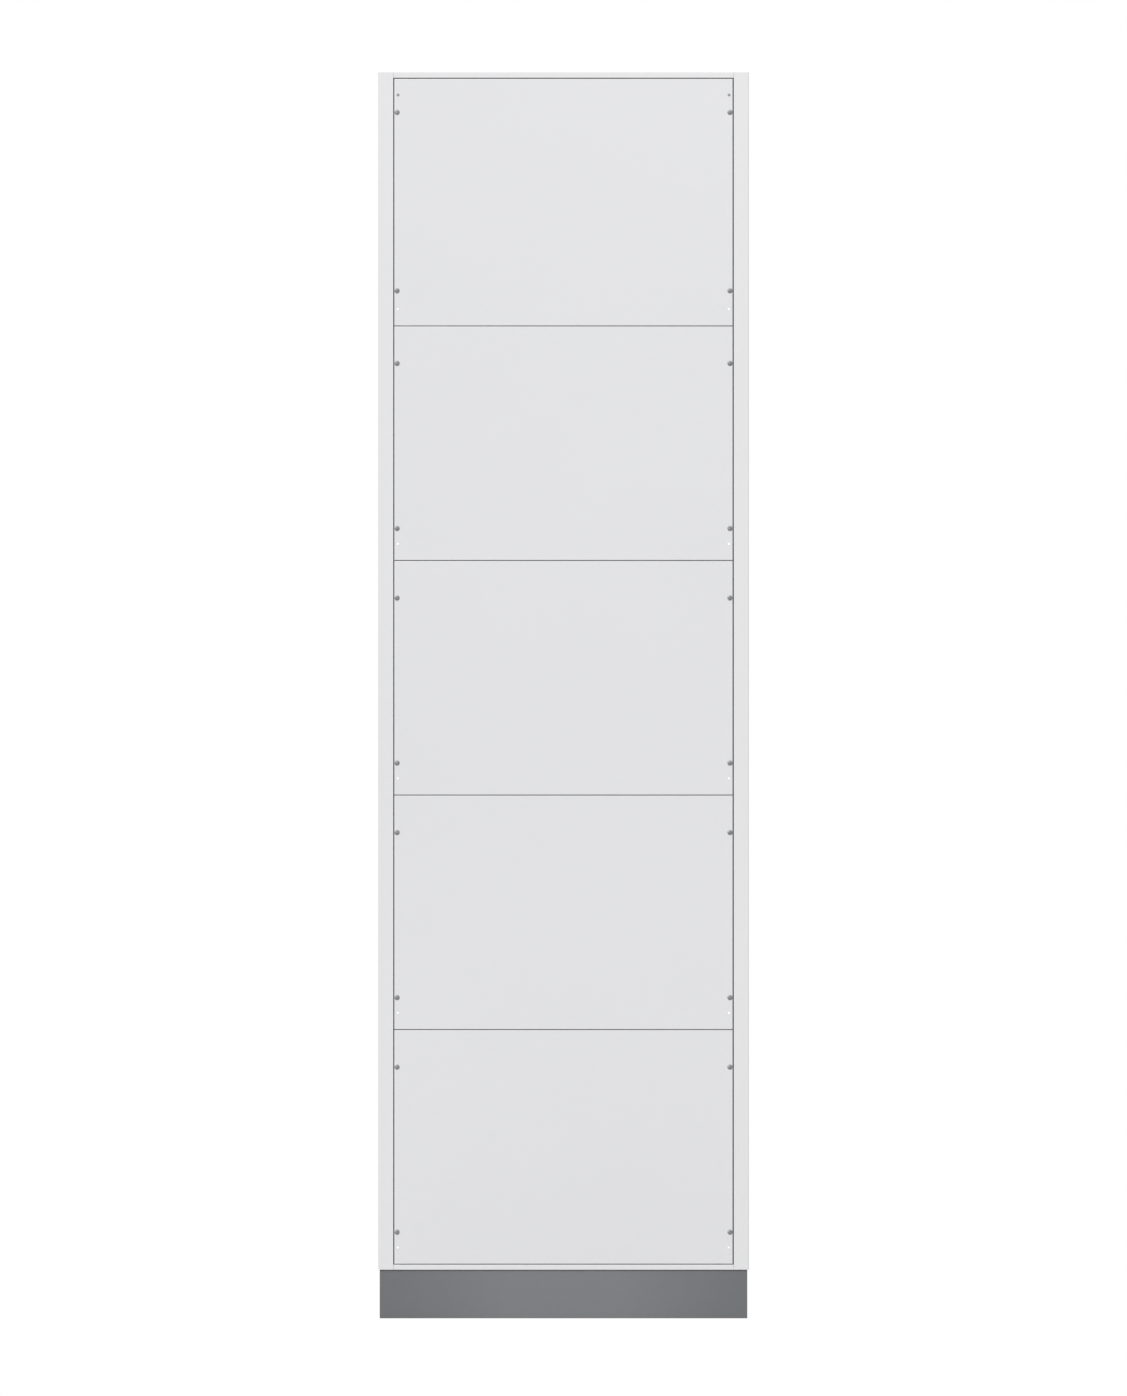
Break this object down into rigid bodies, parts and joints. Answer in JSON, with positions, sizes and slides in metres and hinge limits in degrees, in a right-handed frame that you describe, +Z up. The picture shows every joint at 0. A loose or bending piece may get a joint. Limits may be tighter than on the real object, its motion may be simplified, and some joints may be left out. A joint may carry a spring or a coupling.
{
  "type": "parcel locker",
  "caption": "Tall sheet-steel parcel locker column on a grey plinth, with flush hinged doors stacked one above another, hook locks and sprung ejectors behind them.",
  "frame": {"origin": "on the floor, below the middle of the column's plan outline", "axes": "+Z up, the doors face -Y, +X to the right when facing the doors"},
  "size_m": [0.595, 0.6022, 2],
  "materials": {
    "carcass_paint": "light grey powder coat, fine texture, semi-matt",
    "door_paint": "light grey powder coat, fine texture, semi-matt",
    "plinth_paint": "mid grey powder coat, matt",
    "zinc_plate": "bright zinc plate",
    "dark_rivet": "dark steel blind rivets with a paler mandrel",
    "hook_steel": "ground steel",
    "black_plastic": "moulded, fine grain",
    "white_nylon": "natural nylon",
    "coil_steel": "dark tape-wound coil in a steel frame",
    "circuit_board": "green solder mask",
    "cable_sheath": "black sheath",
    "black_rubber": "moulded rubber"
  },
  "bodies": {
    "carcass": {"side_panel_left": "carcass_paint", "side_panel_right": "carcass_paint", "roof_panel": "carcass_paint", "floor_panel": "carcass_paint", "back_panel": "carcass_paint", "plinth": "plinth_paint", "hinge_post": "carcass_paint", "lock_post": "carcass_paint", "duct_cover": "carcass_paint", "shelf_1": "carcass_paint", "shelf_2": "carcass_paint", "shelf_3": "carcass_paint", "shelf_4": "carcass_paint", "hinge_brackets": "zinc_plate", "hinge_washers": "white_nylon", "lock_cases": "black_plastic", "lock_solenoids": "coil_steel", "hook_pins": "zinc_plate", "ejector_barrels": "black_plastic", "control_board": "circuit_board", "wiring_harness": "cable_sheath", "cable_grommet": "black_rubber", "levelling_feet": "zinc_plate", "back_rivets": "zinc_plate", "door_buffers": "black_rubber"},
    "door_1": {"door_1_panel": "door_paint", "door_1_stiffeners": "door_paint", "door_1_rivets": "dark_rivet", "door_1_hinge_leaves": "zinc_plate", "door_1_strike": "zinc_plate"},
    "door_2": {"door_2_panel": "door_paint", "door_2_stiffeners": "door_paint", "door_2_rivets": "dark_rivet", "door_2_hinge_leaves": "zinc_plate", "door_2_strike": "zinc_plate"},
    "door_3": {"door_3_panel": "door_paint", "door_3_stiffeners": "door_paint", "door_3_rivets": "dark_rivet", "door_3_hinge_leaves": "zinc_plate", "door_3_strike": "zinc_plate"},
    "door_4": {"door_4_panel": "door_paint", "door_4_stiffeners": "door_paint", "door_4_rivets": "dark_rivet", "door_4_hinge_leaves": "zinc_plate", "door_4_strike": "zinc_plate"},
    "door_5": {"door_5_panel": "door_paint", "door_5_stiffeners": "door_paint", "door_5_rivets": "dark_rivet", "door_5_hinge_leaves": "zinc_plate", "door_5_strike": "zinc_plate"},
    "latch_1": {"lock_hook_1": "hook_steel"},
    "latch_2": {"lock_hook_2": "hook_steel"},
    "latch_3": {"lock_hook_3": "hook_steel"},
    "latch_4": {"lock_hook_4": "hook_steel"},
    "latch_5": {"lock_hook_5": "hook_steel"},
    "plunger_1": {"ejector_1": "white_nylon"},
    "plunger_2": {"ejector_2": "white_nylon"},
    "plunger_3": {"ejector_3": "white_nylon"},
    "plunger_4": {"ejector_4": "white_nylon"},
    "plunger_5": {"ejector_5": "white_nylon"}
  },
  "joints": [
    {"name": "door_1_hinge", "type": "hinge", "parent": "carcass", "child": "door_1", "pos_m": [-0.2597, -0.2935, 1.7915], "axis": [0, 0, -1], "range_deg": [0, 110]},
    {"name": "door_2_hinge", "type": "hinge", "parent": "carcass", "child": "door_2", "pos_m": [-0.2597, -0.2935, 1.4045], "axis": [0, 0, -1], "range_deg": [0, 110]},
    {"name": "door_3_hinge", "type": "hinge", "parent": "carcass", "child": "door_3", "pos_m": [-0.2597, -0.2935, 1.028], "axis": [0, 0, -1], "range_deg": [0, 110]},
    {"name": "door_4_hinge", "type": "hinge", "parent": "carcass", "child": "door_4", "pos_m": [-0.2597, -0.2935, 0.6515], "axis": [0, 0, -1], "range_deg": [0, 110]},
    {"name": "door_5_hinge", "type": "hinge", "parent": "carcass", "child": "door_5", "pos_m": [-0.2597, -0.2935, 0.275], "axis": [0, 0, -1], "range_deg": [0, 110]},
    {"name": "latch_1_pivot", "type": "hinge", "parent": "carcass", "child": "latch_1", "pos_m": [0.2632, -0.252, 1.7915], "axis": [1, 0, 0], "range_deg": [0, 25], "stiffness_Nm_per_rad": 0.02, "springref_deg": -20.05},
    {"name": "latch_2_pivot", "type": "hinge", "parent": "carcass", "child": "latch_2", "pos_m": [0.2632, -0.252, 1.4045], "axis": [1, 0, 0], "range_deg": [0, 25], "stiffness_Nm_per_rad": 0.02, "springref_deg": -20.05},
    {"name": "latch_3_pivot", "type": "hinge", "parent": "carcass", "child": "latch_3", "pos_m": [0.2632, -0.252, 1.028], "axis": [1, 0, 0], "range_deg": [0, 25], "stiffness_Nm_per_rad": 0.02, "springref_deg": -20.05},
    {"name": "latch_4_pivot", "type": "hinge", "parent": "carcass", "child": "latch_4", "pos_m": [0.2632, -0.252, 0.6515], "axis": [1, 0, 0], "range_deg": [0, 25], "stiffness_Nm_per_rad": 0.02, "springref_deg": -20.05},
    {"name": "latch_5_pivot", "type": "hinge", "parent": "carcass", "child": "latch_5", "pos_m": [0.2632, -0.252, 0.275], "axis": [1, 0, 0], "range_deg": [0, 25], "stiffness_Nm_per_rad": 0.02, "springref_deg": -20.05},
    {"name": "plunger_1_slide", "type": "slide", "parent": "carcass", "child": "plunger_1", "axis": [0, -1, 0], "range_m": [0, 0.014]},
    {"name": "plunger_2_slide", "type": "slide", "parent": "carcass", "child": "plunger_2", "axis": [0, -1, 0], "range_m": [0, 0.014]},
    {"name": "plunger_3_slide", "type": "slide", "parent": "carcass", "child": "plunger_3", "axis": [0, -1, 0], "range_m": [0, 0.014]},
    {"name": "plunger_4_slide", "type": "slide", "parent": "carcass", "child": "plunger_4", "axis": [0, -1, 0], "range_m": [0, 0.014]},
    {"name": "plunger_5_slide", "type": "slide", "parent": "carcass", "child": "plunger_5", "axis": [0, -1, 0], "range_m": [0, 0.014]}
  ],
  "couplings": [
    {"joint": "plunger_1_slide", "follows": "door_1_hinge", "m_per_rad": 0.00729},
    {"joint": "plunger_2_slide", "follows": "door_2_hinge", "m_per_rad": 0.00729},
    {"joint": "plunger_3_slide", "follows": "door_3_hinge", "m_per_rad": 0.00729},
    {"joint": "plunger_4_slide", "follows": "door_4_hinge", "m_per_rad": 0.00729},
    {"joint": "plunger_5_slide", "follows": "door_5_hinge", "m_per_rad": 0.00729}
  ]
}
